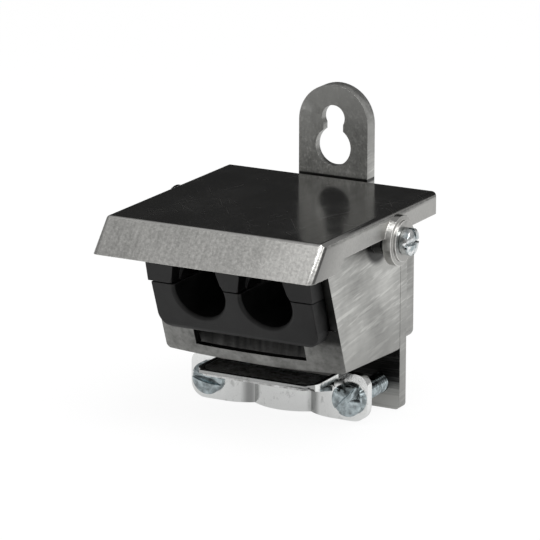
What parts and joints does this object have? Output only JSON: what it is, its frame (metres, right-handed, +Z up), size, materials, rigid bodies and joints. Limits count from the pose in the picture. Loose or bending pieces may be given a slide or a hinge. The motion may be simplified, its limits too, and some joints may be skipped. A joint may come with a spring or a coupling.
{
  "type": "service entrance weatherhead",
  "caption": "Die-cast service entrance head: swinging hood over a split rubber insert with two conductor holes, keyhole hanging ear, and a screwed cable clamp below the open bottom.",
  "frame": {"origin": "centre of the keyhole's round hole, on the back face of the hanging ear's web", "axes": "+Z up, -Y the front (the conductor side), +Y towards the wall, X = 0 the plane of symmetry"},
  "size_m": [0.0898, 0.0908, 0.0981],
  "materials": {
    "cast_aluminium": "die-cast aluminium, brushed, with fine diagonal scratches",
    "hood_aluminium": "die-cast aluminium, polished top with fine scratches, brushed apron",
    "bar_alloy": "bright die-cast alloy, slightly rough",
    "zinc_steel": "bright zinc plating with a bluish tint",
    "black_rubber": "matte black moulded rubber"
  },
  "bodies": {
    "housing": {"housing": "cast_aluminium", "insert_lower": "black_rubber", "hinge_screw_left": "zinc_steel", "hinge_screw_right": "zinc_steel"},
    "hood": {"hood": "hood_aluminium", "insert_upper": "black_rubber"},
    "clamp_bar": {"clamp_bar": "bar_alloy"},
    "clamp_screw_left": {"clamp_screw_left": "zinc_steel"},
    "clamp_screw_right": {"clamp_screw_right": "zinc_steel"}
  },
  "joints": [
    {"name": "hood_swing", "type": "hinge", "parent": "housing", "child": "hood", "pos_m": [0, -0.0332, -0.01865], "axis": [-1, 0, 0], "range_deg": [0, 36]},
    {"name": "clamp_slide", "type": "slide", "parent": "housing", "child": "clamp_bar", "axis": [0, 1, 0], "range_m": [-0.007, 0.008]},
    {"name": "clamp_screw_left_turn", "type": "hinge", "parent": "clamp_bar", "child": "clamp_screw_left", "pos_m": [-0.025, -0.0385, -0.07035], "axis": [0, 1, 0], "range_deg": [-2000, 2300]},
    {"name": "clamp_screw_right_turn", "type": "hinge", "parent": "clamp_bar", "child": "clamp_screw_right", "pos_m": [0.025, -0.0385, -0.07035], "axis": [0, 1, 0], "range_deg": [-2000, 2300]}
  ],
  "couplings": [
    {"joint": "clamp_screw_left_turn", "follows": "clamp_slide", "rad_per_m": 4947.4},
    {"joint": "clamp_screw_right_turn", "follows": "clamp_slide", "rad_per_m": 4947.4}
  ]
}
